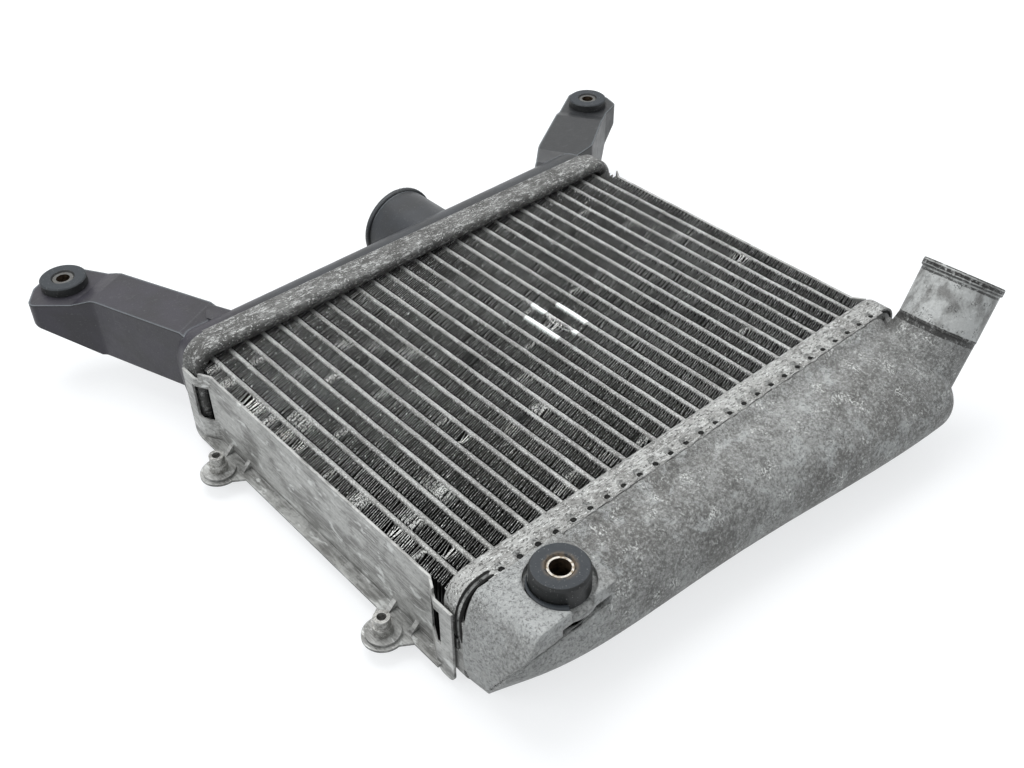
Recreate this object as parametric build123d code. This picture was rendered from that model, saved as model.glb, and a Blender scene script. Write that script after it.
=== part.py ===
from build123d import *
import os
from math import cos, radians, sin, tan

# Air-to-air intercooler: tube-and-fin core, crimped header plates, one cast and one moulded tank.
# Built about the centre of the core (X along the headers, Y along the tubes, Z through the core), then
# moved so that the origin is the centre of the cast tank's mounting sleeve, at its upper end.
# All dimensions are in mm.

# core
TUBES = 28
TUBE_PITCH = 11.7
TUBE_THICKNESS = 3.4
TUBE_WALL = 0.6
TUBE_NOSE = 1.0            # bevel that makes the tube's rounded nose
CORE_DEPTH = 50.0
FIN_SHEET = 0.5
FIN_WAVES = 15
FIN_END = 117.0            # half length of the inner fin rows
FIN_END_OUTER = 111.5      # half length of the rows beside the side plates

# header plates: a pan with a half-round gutter around a flat floor
PAN_X, PAN_Z, PAN_CORNER = 172.9, 35.0, 16.0
PAN_SHIFT = 0.9            # the pans and tanks sit this much to the right of the core
GUTTER_WIDTH = 9.0
SHEET = 1.5
GUTTER_NOSE = 112.7        # distance of the gutter's round nose from the middle of the core
FLOOR = 119.0              # core side of the floor
RIM = 128.5                # where the crimped edge folds over the tank's foot
FOLD = 4.2
TUBE_END = 122.5
NOTCHES, NOTCH_PITCH, NOTCH_WIDTH, NOTCH_DEPTH = 26, 11.77, 3.0, 6.2
NOTCH_SHIFT = 0.8          # middle of the row of notches, from the middle of the pan
TAB_SLOT = (121.5, 126.5)  # hole in the pan's end for the gasket's tab
TAB_HALF = 4.0

# tank feet and gaskets
FOOT_GAP = 1.8             # gasket lip between the foot and the pan's wall
FOOT_WALL = 4.0
FOOT_BOTTOM = 118.0
TANK_BASE = RIM + SHEET + 0.2

# cast tank
CAST_HALF_HEIGHT = 31.5
CAST_WALL = 3.5
# station along X, depth, fullness of the belly, share of the depth that the flat sole takes
CAST_STATIONS = [(-175, 25.8, 0.0, 0.31), (-128, 38.5, 0.36, 0.179), (-60, 42.5, 0.5, 0.21),
                 (45, 52, 0.55, 0.221), (118, 60, 0.55, 0.221), (160, 61.5, 0.55, 0.221)]
CAST_HOLLOW = (-163.0, 157.6)
FAR_ROUND = 15.0           # rounding of the end under the spigot
# the near end bulges past the header plate: two quarter ellipses, and a draft towards the front
END_TOP, END_TOP_AXES = -160.0, (13.6, 37.5)
END_SOLE, END_SOLE_AXES = -164.6, (9.0, 32.0)
END_DRAFT = 4.0
SPIGOT_LEAN, SPIGOT_TURN = 34.0, 4.0
SPIGOT_BASE = (171.5, -158.5, 32.5)
SPIGOT_OD, SPIGOT_BORE, SPIGOT_LENGTH = 47.5, 40.5, 35.0
NECK_OD = 47.0
BEAD_OD, BEAD_WIDTH = 49.5, 5.0

# cast tank's boss and the bushing that fills it
BOSS_X, BOSS_Y = (-175.0, -110.5), (-169.5, -130.2)
BOSS_TOP, BOSS_PLATE = 36.7, 8.0
BOSS_BEND, BOSS_SLOPE = 24.0, 0.5625   # below the bend the boss slopes back to meet the tank
RECESS = 4.0               # depth of the round recess that the bushing's collar sits in
FRONT_BUSH = (-131.0, -151.5, 46.0)
FRONT_BUSH_OD, FRONT_SLEEVE_OD, FRONT_SLEEVE_BORE = 30.0, 13.2, 10.8

# moulded tank
PLASTIC_HALF_HEIGHT = 30.5
PLASTIC_DEPTH = (27.5, 33.0)   # at the left end and at the right end
PLASTIC_WALL = 3.0
OUTLET_X, OUTLET_END, OUTLET_OD, OUTLET_BORE, OUTLET_BEAD = 34.0, 191.0, 54.5, 48.0, 58.0

# arms of the moulded tank
ARM_TOP, PAD_TOP = 29.0, 26.2
SLEEVE_DROP = 1.0          # the sleeves end this far below the rubber
ARM_BUSH_Z = 32.2
ARM_BUSH_OD, ARM_SLEEVE_OD, ARM_SLEEVE_BORE = 29.0, 13.0, 8.5
LEFT_BUSH = (-190.0, 243.0)
RIGHT_BUSH = (230.5, 196.0)

# side plates
PLATE_X = 168.0
STRAP_GAP = 1.4            # clearance between a strap and the end of the pan
WINDOW_Y, WINDOW_Z = (103.0, 115.0), (-10.0, 15.0)
STRAP_END = 124.0
TOE_Z = -31.0
FLANGE_EDGE = 177.0
LUG_X, LUG_Y, LUG_R = 184.7, 79.5, 11.5

YZ_AT = lambda x: Plane(origin=(x, 0, 0), x_dir=(0, 1, 0), z_dir=(1, 0, 0))


def slab(y0, y1, half_x, half_z, corner):
    """Rounded rectangle in X and Z, from y0 to y1."""
    return extrude(Plane.XZ.offset(-y0) * RectangleRounded(2 * half_x, 2 * half_z, corner), -(y1 - y0))


def block(x, y, z):
    """Box between pairs of coordinates."""
    centre = [(a + b) / 2 for a, b in (x, y, z)]
    return Pos(*centre) * Box(*[abs(b - a) for a, b in (x, y, z)])


def tube_axis(i):
    return (i - (TUBES - 1) / 2) * TUBE_PITCH


# ---------------------------------------------------------------- tubes
def bevelled(width, depth, bevel):
    w, d = width / 2, depth / 2
    return Polyline((-w + bevel, -d), (w - bevel, -d), (w, -d + bevel), (w, d - bevel),
                    (w - bevel, d), (-w + bevel, d), (-w, d - bevel), (-w, -d + bevel), close=True)


def flat_tube():
    outside = make_face(bevelled(TUBE_THICKNESS, CORE_DEPTH, TUBE_NOSE))
    inside = make_face(bevelled(TUBE_THICKNESS - 2 * TUBE_WALL, CORE_DEPTH - 2 * TUBE_WALL, TUBE_NOSE / 2))
    section = Plane.XZ.offset(TUBE_END) * (outside - inside)
    return extrude(section, -2 * TUBE_END)


def tubes():
    one = flat_tube()
    return Compound([Pos(tube_axis(i), 0, 0) * one for i in range(TUBES)])


# ---------------------------------------------------------------- fins
def fin_row(height, half_length):
    """Corrugated strip whose crests touch the tubes on both sides."""
    steps = 2 * FIN_WAVES
    crest = height / 2 - FIN_SHEET
    wave = [((-1) ** j * crest, -half_length + j * half_length / FIN_WAVES) for j in range(steps + 1)]
    edge = [(x + FIN_SHEET, y) for x, y in wave] + [(x - FIN_SHEET, y) for x, y in reversed(wave)]
    return extrude(Plane.XY.offset(-CORE_DEPTH / 2) * make_face(Polyline(*edge, close=True)), CORE_DEPTH)


def fins():
    gap = TUBE_PITCH - TUBE_THICKNESS
    inner, outer = fin_row(gap, FIN_END), fin_row(gap, FIN_END_OUTER)
    rows = []
    for i in range(-1, TUBES):
        row = outer if i in (-1, TUBES - 1) else inner
        rows.append(Pos(tube_axis(i) + TUBE_PITCH / 2, 0, 0) * row)
    return Compound(rows)


# ---------------------------------------------------------------- header plates
def header_plate(notched, tab_sides):
    inner_x, inner_z = PAN_X - GUTTER_WIDTH, PAN_Z - GUTTER_WIDTH
    wall_x, wall_z = PAN_X - SHEET, PAN_Z - SHEET
    ring = slab(GUTTER_NOSE, RIM + SHEET, PAN_X, PAN_Z, PAN_CORNER)
    ring -= slab(GUTTER_NOSE, FLOOR, inner_x, inner_z, PAN_CORNER - GUTTER_WIDTH)
    nose = ring.edges().filter_by(lambda e: abs(e.center().Y - GUTTER_NOSE) < 0.01)
    pan = fillet(nose, GUTTER_WIDTH / 2 - 0.05)
    # gutter channel, space over the floor, and the mouth left by the folded edge
    gutter = slab(GUTTER_NOSE + SHEET, FLOOR + SHEET + 1, wall_x, wall_z, PAN_CORNER - SHEET)
    gutter -= slab(GUTTER_NOSE, RIM, inner_x + SHEET, inner_z + SHEET, PAN_CORNER - GUTTER_WIDTH + SHEET)
    channel_edges = gutter.edges().filter_by(lambda e: abs(e.center().Y - GUTTER_NOSE - SHEET) < 0.01)
    pan -= fillet(channel_edges, GUTTER_WIDTH / 2 - SHEET - 0.05)
    pan -= slab(FLOOR + SHEET, RIM, wall_x, wall_z, PAN_CORNER - SHEET)
    pan -= slab(RIM - 0.1, RIM + 2 * SHEET, PAN_X - FOLD, PAN_Z - FOLD, PAN_CORNER - FOLD)
    # the edge isn't folded round the corners
    for sx in (-1, 1):
        for sz in (-1, 1):
            pan -= block((sx * (PAN_X - 17), sx * (PAN_X + 1)), (RIM - 0.2, RIM + 2 * SHEET),
                         (sz * (PAN_Z - 17), sz * (PAN_Z + 1)))
    for sx in tab_sides:
        pan -= block((sx * (PAN_X - SHEET - 1), sx * (PAN_X + 1)), TAB_SLOT, (-TAB_HALF, TAB_HALF))
    slot = make_face(bevelled(TUBE_THICKNESS, CORE_DEPTH, TUBE_NOSE))
    cutter = extrude(Plane.XZ.offset(-FLOOR + 1) * slot, -(SHEET + 2))
    pan -= [Pos(tube_axis(i) - PAN_SHIFT, 0, 0) * cutter for i in range(TUBES)]
    if notched:
        span = (NOTCHES - 1) * NOTCH_PITCH
        for sz in (-1, 1):
            pan -= [block((x - NOTCH_WIDTH / 2, x + NOTCH_WIDTH / 2),
                          (RIM + SHEET - NOTCH_DEPTH, RIM + SHEET + 1), (sz * (PAN_Z - FOLD - 1), sz * (PAN_Z + 1)))
                    for x in (NOTCH_SHIFT - span / 2 + n * NOTCH_PITCH for n in range(NOTCHES))]
    return Pos(PAN_SHIFT, 0, 0) * pan


# ---------------------------------------------------------------- gaskets
def gasket(tab_sides):
    """Ring in the gutter under the tank's foot, with a lip up the outside of the foot."""
    wall_x, wall_z, corner = PAN_X - SHEET, PAN_Z - SHEET, PAN_CORNER - SHEET
    in_x, in_z = PAN_X - GUTTER_WIDTH + SHEET, PAN_Z - GUTTER_WIDTH + SHEET
    ring = slab(FOOT_BOTTOM - 0.8, RIM - 0.8, wall_x, wall_z, corner)
    ring -= slab(FOOT_BOTTOM, RIM + 1, wall_x - FOOT_GAP, wall_z - FOOT_GAP, corner - FOOT_GAP)
    ring -= slab(GUTTER_NOSE, RIM, in_x, in_z, PAN_CORNER - GUTTER_WIDTH + SHEET)
    # pull tabs that come out through the ends of the pan
    for sx in tab_sides:
        ring += block((sx * (wall_x - 1), sx * (PAN_X + STRAP_GAP - 0.3)), (TAB_SLOT[0] + 0.3, TAB_SLOT[1] - 0.3),
                      (-TAB_HALF + 0.3, TAB_HALF - 0.3))
    return Pos(PAN_SHIFT, 0, 0) * ring


# ---------------------------------------------------------------- tanks
def foot():
    """Wall of the tank that stands in the gutter, and its step through the folded edge."""
    x, z, corner = PAN_X - SHEET - FOOT_GAP, PAN_Z - SHEET - FOOT_GAP, PAN_CORNER - SHEET - FOOT_GAP
    ring = slab(FOOT_BOTTOM, RIM, x, z, corner)
    ring += slab(RIM - 1, TANK_BASE, PAN_X - FOLD - 0.3, PAN_Z - FOLD - 0.3, PAN_CORNER - FOLD)
    ring -= slab(FOOT_BOTTOM - 1, TANK_BASE + 1, x - FOOT_WALL, z - FOOT_WALL, corner - FOOT_WALL)
    return Pos(PAN_SHIFT, 0, 0) * ring


def d_section(x, depth, half_height, fullness=0.55, sole=0.22, base=TANK_BASE):
    """D-shaped face across the tank; at a fullness of 0.55 its outside is a half ellipse."""
    front, h, k = base + depth, half_height, fullness
    bend, low = base + 0.22 * depth, base + sole * depth
    reach = front - low
    outline = [Line((base, h), (bend, h)),
               Bezier((bend, h), (bend + 0.55 * (front - bend), h), (front, 0.55 * h), (front, 0)),
               Bezier((front, 0), (front, -k * h), (low + k * reach, -h), (low, -h)),
               Line((low, -h), (base, -h)),
               Line((base, -h), (base, h))]
    return YZ_AT(x) * make_face(outline)


def to_front(shape):
    return mirror(shape, about=Plane.XZ)


def far_edges(shape, x):
    """Edges round the end face at x, without the one on the tank's base."""
    return shape.edges().filter_by(lambda e: e.center().X > x - 0.1 and e.center().Y > RIM + 2)


def near_end(y, draft):
    """Outline of everything that lies inside the near end's wall, at one distance from the core."""
    (a, b), (c, d) = END_TOP_AXES, END_SOLE_AXES
    top, sole = END_TOP + draft, END_SOLE + draft
    outline = [EllipticalCenterArc((top, 0), a, b, start_angle=90, arc_size=90),
               EllipticalCenterArc((sole, 0), c, d, start_angle=180, arc_size=90),
               Polyline((sole, -d), (220, -d), (220, b), (top, b))]
    return Plane.XZ.offset(-y) * make_face(outline)


def cast_tank():
    last, wall = CAST_STATIONS[-1][0], CAST_WALL
    body = loft([d_section(x, d, CAST_HALF_HEIGHT, k, sole) for x, d, k, sole in CAST_STATIONS])
    body = fillet(far_edges(body, last), FAR_ROUND)
    near, far = CAST_HOLLOW
    hollow = loft([d_section(min(max(x, near), far), d - wall, CAST_HALF_HEIGHT - wall - 2, k, sole, RIM)
                   for x, d, k, sole in CAST_STATIONS])
    hollow = fillet(far_edges(hollow, far), FAR_ROUND - wall - 0.5)
    body, hollow = to_front(body), to_front(hollow)
    y0, y1 = BOSS_Y
    end = loft([near_end(y1 + 1, 0), near_end(y0 - 30, END_DRAFT * (1 + 30 / (y1 - y0)))], ruled=True)

    # leaning spigot on its round neck
    lean, turn = radians(SPIGOT_LEAN), radians(SPIGOT_TURN)
    mouth = Plane(origin=SPIGOT_BASE, x_dir=(-sin(turn), cos(turn), 0),
                  z_dir=(sin(lean) * cos(turn), sin(lean) * sin(turn), cos(lean)))
    neck = loft([mouth.offset(-44) * Circle(NECK_OD / 2 - 0.8), mouth * Circle(NECK_OD / 2)])
    spigot = extrude(mouth * Circle(SPIGOT_OD / 2), SPIGOT_LENGTH)
    bead = extrude(mouth.offset(SPIGOT_LENGTH - BEAD_WIDTH) * Circle(BEAD_OD / 2), BEAD_WIDTH)
    bead = fillet(bead.edges(), (BEAD_OD - SPIGOT_OD) / 2)
    bore = extrude(mouth.offset(-30) * Circle(SPIGOT_BORE / 2), SPIGOT_LENGTH + 31)

    # boss plate over an open pocket, so a nut can be put on under the bushing
    x0, x1 = BOSS_X
    bx, by, _ = FRONT_BUSH
    under = BOSS_TOP - BOSS_PLATE
    side = Polyline((y0, BOSS_TOP), (y0, BOSS_BEND), (y0 + BOSS_SLOPE * BOSS_BEND, 0), (y1, 0),
                    (y1, BOSS_TOP), close=True)
    boss = extrude(YZ_AT(x0) * make_face(side), x1 - x0) & end
    boss = fillet(boss.edges().filter_by(Axis.Z).filter_by(lambda e: e.center().X > x1 - 0.1), 3)
    pocket_floor = under - 11
    pocket = block((bx - 15, x1 - 4), (y0 - 5, by + 12), (pocket_floor, under))
    guard = block((bx - 15 - wall, x1 + 2), (y0 - 9, by + 12 + wall), (pocket_floor - wall, BOSS_TOP + 1))

    tank = (body & end) + boss + neck + spigot + bead
    tank -= hollow - guard - block((-200, 0), (-200, y0 + wall), (-50, 50))
    tank -= bore
    tank -= pocket
    # round seat of the bushing; its recess is broken out to the front, where its floor falls away
    tank += Pos(bx, by, under - 0.9) * Cylinder(18.5, 1.8)
    tank -= Pos(bx, by, under - 10) * Cylinder(13.6, 20)
    tank -= Pos(bx, by, under) * Cylinder(11, 4 * BOSS_PLATE)
    tank -= Pos(bx, by, BOSS_TOP) * Cylinder(17.8, 2 * RECESS)
    rest = BOSS_TOP - RECESS
    breakout = Polyline((by - 12, rest), (y0 - 1, rest - 3), (y0 - 1, BOSS_TOP + 1), (by - 12, BOSS_TOP + 1),
                        close=True)
    tank -= extrude(YZ_AT(bx - 9.5) * make_face(breakout), 14.5)
    tank += to_front(foot())
    return tank


def arm(outline, bush, root):
    """Moulded arm, open below: a plan outline cut by the arm's profile from its root to its tip."""
    run = Vector(bush[0] - root[0], bush[1] - root[1], 0)
    length, along = run.length, run.normalized()
    side = Plane(origin=(root[0], root[1], 0), x_dir=along, z_dir=(along.Y, -along.X, 0))
    plan = make_face(Polyline(*outline, close=True))
    top = [(-30, ARM_TOP - 5), (-2, ARM_TOP - 5), (8, ARM_TOP), (length - 29, ARM_TOP),
           (length - 18, PAD_TOP), (length + 40, PAD_TOP)]
    under = [(length + 40, 13), (length + 7, 11.5), (length - 29, -12.3), (0, -14), (-30, -14)]

    def profile(lower):
        face = make_face(Polyline(*[(s, z - lower) for s, z in top], *under, close=True))
        return extrude(side * face, 100, both=True)

    solid = extrude(Plane.XY.offset(-40) * plan, 90)
    solid = fillet(solid.edges().filter_by(Axis.Z), 5)
    solid &= profile(0)
    void = extrude(Plane.XY.offset(-60) * offset(plan, -PLASTIC_WALL), 120)
    void &= profile(PLASTIC_WALL + 1) + Pos(0, 0, -25) * profile(PLASTIC_WALL + 1)
    void -= Pos(bush[0], bush[1], 0) * Cylinder(17, 120)
    # cross ribs inside
    for part in (0.3, 0.55):
        at = Vector(root[0], root[1], 0) + run * part
        void -= Plane(origin=at, x_dir=(along.Y, -along.X, 0), z_dir=(0, 0, 1)) * Box(200, 2.5, 200)
    solid -= void
    # seat for the bushing's two flanges
    solid -= Pos(bush[0], bush[1], 0) * Cylinder(9.5, 120)
    solid -= Pos(bush[0], bush[1], PAD_TOP - 8 - 20) * Cylinder(12.4, 40)
    return solid


def plastic_tank():
    x = PAN_X - FOLD - 0.8
    wall = PLASTIC_WALL
    near, far = PLASTIC_DEPTH
    body = loft([d_section(-x, near, PLASTIC_HALF_HEIGHT), d_section(x, far, PLASTIC_HALF_HEIGHT)])
    ends = body.edges().filter_by(lambda e: abs(abs(e.center().X) - x) < 0.1 and e.center().Y > RIM + 2)
    body = Pos(PAN_SHIFT, 0, 0) * fillet(ends, 12)
    inside = PLASTIC_HALF_HEIGHT - wall - 2
    hollow = loft([d_section(-x + wall + 5, near - wall, inside, base=RIM),
                   d_section(x - wall - 5, far - wall, inside, base=RIM)])
    across = Plane(origin=(OUTLET_X, RIM + 10, 0), x_dir=(1, 0, 0), z_dir=(0, 1, 0))
    length = OUTLET_END - RIM - 10
    outlet = extrude(across * Circle(OUTLET_OD / 2), length)
    bead = extrude(across.offset(length - 4) * Circle(OUTLET_BEAD / 2), 4)
    bead = fillet(bead.edges(), 1.4)
    bore = extrude(across * Circle(OUTLET_BORE / 2), length + 1)
    left = arm([(-161, 138), (-187, 209), (-218, 237), (-207, 252), (-190, 261.5), (-173, 251),
                (-160.5, 230.5), (-124.6, 140)], LEFT_BUSH, (-143, 146))
    right = arm([(160, 138), (182.5, 142), (230.5, 175), (247, 181), (251, 195), (234, 219.4),
                 (206, 202), (153, 169), (130, 150)], RIGHT_BUSH, (150, 148))
    tank = body + outlet + bead + left + right
    tank -= Pos(PAN_SHIFT, 0, 0) * hollow
    tank -= bore
    return tank + foot()


# ---------------------------------------------------------------- bushings and sleeves
def bushing(at, od, sleeve_od, plate, waist, low_od):
    """Rubber bushing with a groove that grips the boss plate, dished round the sleeve."""
    x, y, z = at
    lip = 0.12 * (z - plate[1])
    profile = Polyline((sleeve_od / 2, plate[0] - 5), (low_od / 2, plate[0] - 5), (low_od / 2, plate[0]),
                       (waist, plate[0]), (waist, plate[1]), (od / 2, plate[1]), (od / 2, z - lip),
                       (od / 2 - 1.0, z), (sleeve_od / 2 + 1.0, z), (sleeve_od / 2, z - 1.4), close=True)
    return Pos(x, y, 0) * revolve(Plane.XZ * make_face(profile), Axis.Z)


def sleeve(at, od, bore, bottom):
    x, y, z = at
    top = z - SLEEVE_DROP
    return Pos(x, y, (top + bottom) / 2) * (Cylinder(od / 2, top - bottom) - Cylinder(bore / 2, top - bottom))


# ---------------------------------------------------------------- side plates
def plate_strip(strap_x):
    """Pressed strip in plan: flat along the core, stepped out to pass the header plates' ends."""
    half = [(PLATE_X, 0), (PLATE_X, 101), (strap_x, 111), (strap_x, STRAP_END)]
    inside = [(x, -y) for x, y in reversed(half[1:])] + [(x, y) for x, y in half[1:]]
    outside = [(x + SHEET, y) for x, y in reversed(inside)]
    return make_face(Polyline(*inside, *outside, close=True))


def side_plate(pan_end, strap_top, lugs):
    """Plate on the +X side; the caller mirrors it for the other side."""
    depth = CORE_DEPTH / 2
    strap_x = pan_end + STRAP_GAP
    plate = extrude(Plane.XY.offset(-depth) * plate_strip(strap_x), 2 * depth)
    for sy in (-1, 1):
        plate -= block((PLATE_X - 2, strap_x + 4), (sy * WINDOW_Y[0], sy * WINDOW_Y[1]), WINDOW_Z)
        plate -= block((strap_x - 3, strap_x + 4), (sy * 108, sy * 130), (strap_top, depth + 1))
        toe = block((strap_x, strap_x + SHEET), (sy * 111.5, sy * STRAP_END), (TOE_Z, -depth + 1))
        plate += fillet(toe.edges().filter_by(Axis.X).group_by(Axis.Z)[0], 4.5)
    edge = FLANGE_EDGE
    flange = block((PLATE_X, edge), (-110.8, 110.8), (-depth - SHEET, -depth))
    flange += block((strap_x, edge), (-114, 114), (-depth - SHEET, -depth))
    if lugs:
        for sy in (-1, 1):
            y = sy * LUG_Y
            neck = Polyline((edge - 2, y - 17), (LUG_X, y - LUG_R + 0.8), (LUG_X, y + LUG_R - 0.8),
                            (edge - 2, y + 17), close=True)
            flange += extrude(Plane.XY.offset(-depth - SHEET) * make_face(neck), SHEET)
            flange += Pos(LUG_X, y, -depth - SHEET / 2) * Cylinder(LUG_R, SHEET)
            flange += Pos(LUG_X, y, -depth + 1.1) * Cylinder(LUG_R - 1.9, 2.2)
            # darts that stiffen the bend on both sides of the lug
            for dy in (-9.5, 9.5):
                dart = make_face(Polyline((PLATE_X + SHEET - 0.2, -depth - 0.2), (edge - 1, -depth - 0.2),
                                          (PLATE_X + SHEET - 0.2, -depth + 6), close=True))
                flange += extrude(Plane.XZ.offset(-(y + dy) - 1.4) * dart, 2.8)
    plate += flange
    if lugs:
        for sy in (-1, 1):
            plate -= Pos(LUG_X, sy * LUG_Y, -depth) * Cylinder(3.6, 30)
    return plate


def lug_nut(y):
    """Stepped threaded insert, its shank through the lug and its collars above it."""
    base = -CORE_DEPTH / 2 + 2.2
    body = Pos(0, 0, base + 2.6) * Cylinder(5.4, 5.2) + Pos(0, 0, base + 6.4) * Cylinder(4.5, 8.8)
    body += Pos(0, 0, base - 2.1) * Cylinder(3.6, 4.4)
    body -= Pos(0, 0, base + 3) * Cylinder(2.5, 40)
    return Pos(-LUG_X, y, 0) * body


# ---------------------------------------------------------------- assembly
left_end, right_end = PAN_X - PAN_SHIFT, PAN_X + PAN_SHIFT
front_plate = (BOSS_TOP - BOSS_PLATE, BOSS_TOP - RECESS)
arm_plate = (PAD_TOP - 8, PAD_TOP)
left_bush, right_bush = (*LEFT_BUSH, ARM_BUSH_Z), (*RIGHT_BUSH, ARM_BUSH_Z)

nodes = {
    "core_tubes": tubes(),
    "core_fins": fins(),
    "header_plate_front": to_front(header_plate(True, (-1, 1))),
    "header_plate_rear": header_plate(False, (-1, 1)),
    "gasket_front": to_front(gasket((-1, 1))),
    "gasket_rear": gasket((-1, 1)),
    "tank_cast": cast_tank(),
    "tank_plastic": plastic_tank(),
    "side_plate_left": mirror(side_plate(left_end, 21, True), about=Plane.YZ),
    "side_plate_right": side_plate(right_end, 15, False),
    "bushing_front": bushing(FRONT_BUSH, FRONT_BUSH_OD, FRONT_SLEEVE_OD, front_plate, 11, 26),
    "bushing_left": bushing(left_bush, ARM_BUSH_OD, ARM_SLEEVE_OD, arm_plate, 9.5, 24),
    "bushing_right": bushing(right_bush, ARM_BUSH_OD, ARM_SLEEVE_OD, arm_plate, 9.5, 24),
    "sleeve_front": sleeve(FRONT_BUSH, FRONT_SLEEVE_OD, FRONT_SLEEVE_BORE, front_plate[0] - 5),
    "sleeve_left": sleeve(left_bush, ARM_SLEEVE_OD, ARM_SLEEVE_BORE, arm_plate[0] - 5),
    "sleeve_right": sleeve(right_bush, ARM_SLEEVE_OD, ARM_SLEEVE_BORE, arm_plate[0] - 5),
    "lug_nuts": Compound([lug_nut(LUG_Y), lug_nut(-LUG_Y)]),
}

os.makedirs("parts", exist_ok=True)
to_origin = Location((-FRONT_BUSH[0], -FRONT_BUSH[1], -FRONT_BUSH[2] + SLEEVE_DROP))
for name, shape in nodes.items():
    export_step(shape.moved(to_origin), f"parts/{name}.step")
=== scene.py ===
import math

import bpy
import numpy as np
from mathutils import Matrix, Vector


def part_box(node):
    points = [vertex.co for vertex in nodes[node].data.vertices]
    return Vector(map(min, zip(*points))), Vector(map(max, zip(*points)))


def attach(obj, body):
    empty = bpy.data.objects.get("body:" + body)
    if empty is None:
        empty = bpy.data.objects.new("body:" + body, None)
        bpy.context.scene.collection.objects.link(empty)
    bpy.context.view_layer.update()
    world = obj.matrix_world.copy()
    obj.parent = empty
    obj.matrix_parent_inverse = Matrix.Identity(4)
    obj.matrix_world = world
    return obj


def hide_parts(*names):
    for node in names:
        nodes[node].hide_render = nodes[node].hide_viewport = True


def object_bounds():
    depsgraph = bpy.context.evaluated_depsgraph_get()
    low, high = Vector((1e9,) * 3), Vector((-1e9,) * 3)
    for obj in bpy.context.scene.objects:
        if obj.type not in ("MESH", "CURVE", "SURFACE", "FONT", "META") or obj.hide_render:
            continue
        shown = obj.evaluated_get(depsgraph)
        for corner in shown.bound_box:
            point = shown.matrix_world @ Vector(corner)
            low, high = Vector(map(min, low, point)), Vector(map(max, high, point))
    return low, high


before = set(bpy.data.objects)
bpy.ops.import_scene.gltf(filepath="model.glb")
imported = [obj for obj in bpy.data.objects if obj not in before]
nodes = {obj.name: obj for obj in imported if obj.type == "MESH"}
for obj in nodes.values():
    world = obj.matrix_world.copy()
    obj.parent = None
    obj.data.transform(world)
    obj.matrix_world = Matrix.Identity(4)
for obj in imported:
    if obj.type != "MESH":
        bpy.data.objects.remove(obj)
cad_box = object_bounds()

# ---------------------------------------------------------------- camera
# A hand-held camera above the cast tank's boss, with a short lens. Everything else takes its place
# from the frame.
SENSOR_WIDTH, LENS = 36.0, 41.17
CAMERA_PLACE, CAMERA_TURN = (-0.25319, -0.25407, 0.40900), (50.0995, 0.4009, -41.8232)
camera = bpy.data.objects.new("camera", bpy.data.cameras.new("camera"))
bpy.context.scene.collection.objects.link(camera)
bpy.context.scene.camera = camera
camera.data.sensor_fit, camera.data.sensor_width, camera.data.lens = "HORIZONTAL", SENSOR_WIDTH, LENS
camera.data.clip_start, camera.data.clip_end = 0.01, 50.0
camera.location = CAMERA_PLACE
camera.rotation_euler = [math.radians(angle) for angle in CAMERA_TURN]
bpy.context.scene.view_settings.view_transform = "Standard"

# ---------------------------------------------------------------- tubes of the core
# Twenty-eight flat tubes of drawn aluminium, brazed to the fins and into both header plates. One of
# them is torn open along its nose, and it and its neighbours carry white paint that marks the leak.
MM = 0.001
TUBES, TUBE_WIDTH, NOSE = 28, 3.4, 1.7
TUBE_RINGS, NOSE_POINTS = 124, 8
# how far a tube sways to the side and is dented, and how far apart the sways and dents are
SWAY, DENT = (0.09, 9.0), (0.10, 5.0)
tube_low, tube_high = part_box("core_tubes")
middle = (tube_low + tube_high) / 2
half_run, half_depth = (tube_high.y - tube_low.y) / 2 / MM, (tube_high.z - tube_low.z) / 2 / MM
PITCH = ((tube_high.x - tube_low.x) / MM - TUBE_WIDTH) / (TUBES - 1)
# the torn nose: which tube, the middle and half length of the tear, and how its lips stand and its
# crown sinks
TORN_TUBE, TORN_AT, TORN_HALF = 15, 3.0, 12.0
LIP_SPREAD, LIP_SHIFT, CROWN_SINK = 1.3, 1.2, np.array([1.0, 3.4, 3.4, 1.0])
# white paint: which tube, and where it starts and ends along it
PAINT = ((14, -8.0, 22.0), (15, 16.0, 29.0), (15, -12.0, -8.0), (16, -8.0, 18.5))
PAINT_HALF, PAINT_WAVER, PAINT_FRAY = 2.25, 5.0, 6.0
WHITE_PAINT = 0.93


def at(x, y, z):
    """A place in millimetres from the middle of the core."""
    return middle + Vector((x, y, z)) * MM


def tube_x(i):
    return (i - (TUBES - 1) / 2) * PITCH


class Value:
    """A socket of a finish that can be used in sums."""

    def __init__(self, finish, socket):
        self.finish, self.socket = finish, socket

    def sum(self, operation, a, b=0.0):
        return self.finish.node("Math", {"operation": operation}, {0: a, 1: b})

    def __add__(self, other):
        return self.sum("ADD", self, other)

    def __sub__(self, other):
        return self.sum("SUBTRACT", self, other)

    def __rsub__(self, other):
        return self.sum("SUBTRACT", other, self)

    def __mul__(self, other):
        return self.sum("MULTIPLY", self, other)

    def __abs__(self):
        return self.sum("ABSOLUTE", self)

    __radd__, __rmul__ = __add__, __mul__

    def either(self, other):
        return self.sum("MAXIMUM", self, other)

    def between(self, low, high):
        """0 at low and 1 at high, eased; low may be the larger."""
        return self.finish.node("MapRange", {"interpolation_type": "SMOOTHSTEP"},
                                {"Value": self, "From Min": low, "From Max": high})


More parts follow.
